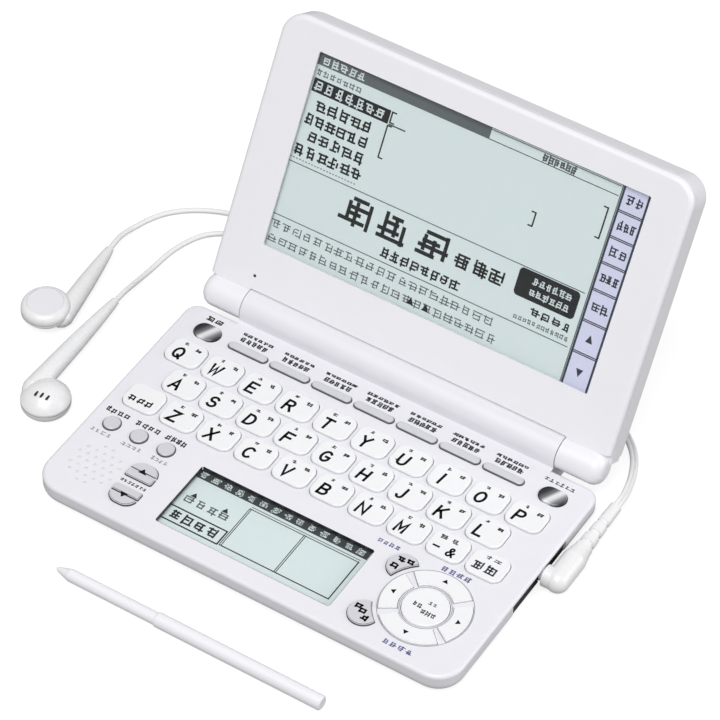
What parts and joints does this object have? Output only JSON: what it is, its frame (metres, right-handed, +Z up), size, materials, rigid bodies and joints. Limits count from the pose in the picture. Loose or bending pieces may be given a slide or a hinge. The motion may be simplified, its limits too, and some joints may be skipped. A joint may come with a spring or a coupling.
{
  "type": "electronic dictionary",
  "caption": "Open clamshell pocket dictionary with letter keys, writing panel and wide screen in the lid, plus a stylus and plugged-in earphones.",
  "frame": {"origin": "on the table plane, at the middle of the width of the base and at the middle in depth between the front of the stylus and the rear of the open lid, earphones left out", "axes": "+Z up, -Y towards the person at the keyboard, +X to the right of the keyboard, where the earphones plug in"},
  "size_m": [0.2032, 0.1724, 0.0927],
  "materials": {
    "case_plastic": "white, lightly glossy",
    "white_keys": "white, satin",
    "grey_keys": "silver grey, satin",
    "chromed_plastic": "chromed, satin",
    "foot_rubber": "matt black",
    "key_rubber": "matt grey",
    "steel": "plated",
    "circuit_board": "green solder resist",
    "cell_wrap": "plain dark wrap",
    "display_glass": "grey-green liquid crystal",
    "touch_film": "pale printed film",
    "window_glass": "clear",
    "speaker_frame": "matt black",
    "black_plastic": "matt black",
    "cord_plastic": "white, soft",
    "earbud_plastic": "white, glossy",
    "grille": "lavender grey mesh"
  },
  "bodies": {
    "base": {"lower_case": "case_plastic", "upper_case": "case_plastic", "rubber_feet": "foot_rubber", "case_screws": "steel", "main_board": "circuit_board", "key_mat": "key_rubber", "battery_cells": "cell_wrap", "battery_contacts": "steel", "sub_display": "display_glass", "writing_panel": "touch_film", "speaker": "speaker_frame", "earphone_jack": "black_plastic", "usb_socket": "steel", "port_panel": "black_plastic", "hinge_pins": "steel"},
    "battery_door": {"battery_cover": "case_plastic"},
    "lid": {"lid_back_cover": "case_plastic", "lid_bezel": "case_plastic", "main_display": "display_glass", "screen_window": "window_glass", "touch_strip": "touch_film", "display_board": "circuit_board"},
    "power_key_body": {"power_key": "chromed_plastic"},
    "backlight_key_body": {"backlight_key": "chromed_plastic"},
    "function_key_1_body": {"function_key_1": "grey_keys"},
    "function_key_2_body": {"function_key_2": "grey_keys"},
    "function_key_3_body": {"function_key_3": "grey_keys"},
    "function_key_4_body": {"function_key_4": "grey_keys"},
    "function_key_5_body": {"function_key_5": "grey_keys"},
    "function_key_6_body": {"function_key_6": "grey_keys"},
    "function_key_7_body": {"function_key_7": "grey_keys"},
    "round_key_1_body": {"round_key_1": "grey_keys"},
    "round_key_2_body": {"round_key_2": "grey_keys"},
    "round_key_3_body": {"round_key_3": "grey_keys"},
    "page_up_key_body": {"page_up_key": "grey_keys"},
    "page_down_key_body": {"page_down_key": "grey_keys"},
    "curved_key_back_body": {"curved_key_back": "grey_keys"},
    "curved_key_front_body": {"curved_key_front": "grey_keys"},
    "arrow_key_up_body": {"arrow_key_up": "white_keys"},
    "arrow_key_left_body": {"arrow_key_left": "white_keys"},
    "arrow_key_down_body": {"arrow_key_down": "white_keys"},
    "arrow_key_right_body": {"arrow_key_right": "white_keys"},
    "enter_key_body": {"enter_key": "white_keys"},
    "shift_key_body": {"shift_key": "white_keys"},
    "delete_key_body": {"delete_key": "white_keys"},
    "letter_row_back_body": {"letter_row_back": "white_keys"},
    "letter_row_middle_body": {"letter_row_middle": "white_keys"},
    "letter_row_front_body": {"letter_row_front": "white_keys"},
    "stylus_barrel_body": {"stylus_barrel": "case_plastic"},
    "stylus_shaft_body": {"stylus_shaft": "case_plastic"},
    "earphone_lead": {"earphone_plug": "cord_plastic", "plug_contact": "steel", "main_lead": "cord_plastic", "cord_coil": "cord_plastic"},
    "earbud_pair": {"cord_splitter": "cord_plastic", "upper_branch_cord": "cord_plastic", "lower_branch_cord": "cord_plastic", "upper_earbud": "earbud_plastic", "lower_earbud": "earbud_plastic", "earbud_grilles": "grille"}
  },
  "joints": [
    {"name": "lid_hinge", "type": "hinge", "parent": "base", "child": "lid", "pos_m": [0, 0.02975, 0.01145], "axis": [1, 0, 0], "range_deg": [-29.3, 120.7]},
    {"name": "battery_door_slide", "type": "slide", "parent": "base", "child": "battery_door", "axis": [0, 1, 0], "range_m": [0, 0.003]},
    {"name": "stylus_lift", "type": "slide", "parent": "base", "child": "stylus_barrel_body", "axis": [0, 0, 1], "range_m": [0, 0.06]},
    {"name": "stylus_telescope", "type": "slide", "parent": "stylus_barrel_body", "child": "stylus_shaft_body", "axis": [1, 0, 0], "range_m": [0, 0.028]},
    {"name": "plug_pull_out", "type": "slide", "parent": "base", "child": "earphone_lead", "axis": [1, 0, 0], "range_m": [0, 0.016]},
    {"name": "earbuds_draw_aside", "type": "slide", "parent": "base", "child": "earbud_pair", "axis": [-1, 0, 0], "range_m": [0, 0.06]},
    {"name": "power_key_press", "type": "slide", "parent": "base", "child": "power_key_body", "axis": [0, 0, -1], "range_m": [0, 0.0005], "stiffness_N_per_m": 200, "springref_m": -0.0005},
    {"name": "backlight_key_press", "type": "slide", "parent": "base", "child": "backlight_key_body", "axis": [0, 0, -1], "range_m": [0, 0.0005], "stiffness_N_per_m": 200, "springref_m": -0.0005},
    {"name": "function_key_1_press", "type": "slide", "parent": "base", "child": "function_key_1_body", "axis": [0, 0, -1], "range_m": [0, 0.0005], "stiffness_N_per_m": 200, "springref_m": -0.0005},
    {"name": "function_key_2_press", "type": "slide", "parent": "base", "child": "function_key_2_body", "axis": [0, 0, -1], "range_m": [0, 0.0005], "stiffness_N_per_m": 200, "springref_m": -0.0005},
    {"name": "function_key_3_press", "type": "slide", "parent": "base", "child": "function_key_3_body", "axis": [0, 0, -1], "range_m": [0, 0.0005], "stiffness_N_per_m": 200, "springref_m": -0.0005},
    {"name": "function_key_4_press", "type": "slide", "parent": "base", "child": "function_key_4_body", "axis": [0, 0, -1], "range_m": [0, 0.0005], "stiffness_N_per_m": 200, "springref_m": -0.0005},
    {"name": "function_key_5_press", "type": "slide", "parent": "base", "child": "function_key_5_body", "axis": [0, 0, -1], "range_m": [0, 0.0005], "stiffness_N_per_m": 200, "springref_m": -0.0005},
    {"name": "function_key_6_press", "type": "slide", "parent": "base", "child": "function_key_6_body", "axis": [0, 0, -1], "range_m": [0, 0.0005], "stiffness_N_per_m": 200, "springref_m": -0.0005},
    {"name": "function_key_7_press", "type": "slide", "parent": "base", "child": "function_key_7_body", "axis": [0, 0, -1], "range_m": [0, 0.0005], "stiffness_N_per_m": 200, "springref_m": -0.0005},
    {"name": "round_key_1_press", "type": "slide", "parent": "base", "child": "round_key_1_body", "axis": [0, 0, -1], "range_m": [0, 0.0005], "stiffness_N_per_m": 200, "springref_m": -0.0005},
    {"name": "round_key_2_press", "type": "slide", "parent": "base", "child": "round_key_2_body", "axis": [0, 0, -1], "range_m": [0, 0.0005], "stiffness_N_per_m": 200, "springref_m": -0.0005},
    {"name": "round_key_3_press", "type": "slide", "parent": "base", "child": "round_key_3_body", "axis": [0, 0, -1], "range_m": [0, 0.0005], "stiffness_N_per_m": 200, "springref_m": -0.0005},
    {"name": "page_up_key_press", "type": "slide", "parent": "base", "child": "page_up_key_body", "axis": [0, 0, -1], "range_m": [0, 0.0005], "stiffness_N_per_m": 200, "springref_m": -0.0005},
    {"name": "page_down_key_press", "type": "slide", "parent": "base", "child": "page_down_key_body", "axis": [0, 0, -1], "range_m": [0, 0.0005], "stiffness_N_per_m": 200, "springref_m": -0.0005},
    {"name": "curved_key_back_press", "type": "slide", "parent": "base", "child": "curved_key_back_body", "axis": [0, 0, -1], "range_m": [0, 0.0005], "stiffness_N_per_m": 200, "springref_m": -0.0005},
    {"name": "curved_key_front_press", "type": "slide", "parent": "base", "child": "curved_key_front_body", "axis": [0, 0, -1], "range_m": [0, 0.0005], "stiffness_N_per_m": 200, "springref_m": -0.0005},
    {"name": "arrow_key_up_press", "type": "slide", "parent": "base", "child": "arrow_key_up_body", "axis": [0, 0, -1], "range_m": [0, 0.0005], "stiffness_N_per_m": 200, "springref_m": -0.0005},
    {"name": "arrow_key_left_press", "type": "slide", "parent": "base", "child": "arrow_key_left_body", "axis": [0, 0, -1], "range_m": [0, 0.0005], "stiffness_N_per_m": 200, "springref_m": -0.0005},
    {"name": "arrow_key_down_press", "type": "slide", "parent": "base", "child": "arrow_key_down_body", "axis": [0, 0, -1], "range_m": [0, 0.0005], "stiffness_N_per_m": 200, "springref_m": -0.0005},
    {"name": "arrow_key_right_press", "type": "slide", "parent": "base", "child": "arrow_key_right_body", "axis": [0, 0, -1], "range_m": [0, 0.0005], "stiffness_N_per_m": 200, "springref_m": -0.0005},
    {"name": "enter_key_press", "type": "slide", "parent": "base", "child": "enter_key_body", "axis": [0, 0, -1], "range_m": [0, 0.0005], "stiffness_N_per_m": 200, "springref_m": -0.0005},
    {"name": "shift_key_press", "type": "slide", "parent": "base", "child": "shift_key_body", "axis": [0, 0, -1], "range_m": [0, 0.0007], "stiffness_N_per_m": 200, "springref_m": -0.0005},
    {"name": "delete_key_press", "type": "slide", "parent": "base", "child": "delete_key_body", "axis": [0, 0, -1], "range_m": [0, 0.0007], "stiffness_N_per_m": 200, "springref_m": -0.0005},
    {"name": "letter_row_back_press", "type": "slide", "parent": "base", "child": "letter_row_back_body", "axis": [0, 0, -1], "range_m": [0, 0.0007], "stiffness_N_per_m": 2000, "springref_m": -0.0005},
    {"name": "letter_row_middle_press", "type": "slide", "parent": "base", "child": "letter_row_middle_body", "axis": [0, 0, -1], "range_m": [0, 0.0007], "stiffness_N_per_m": 1800, "springref_m": -0.0005},
    {"name": "letter_row_front_press", "type": "slide", "parent": "base", "child": "letter_row_front_body", "axis": [0, 0, -1], "range_m": [0, 0.0007], "stiffness_N_per_m": 1600, "springref_m": -0.0005}
  ]
}
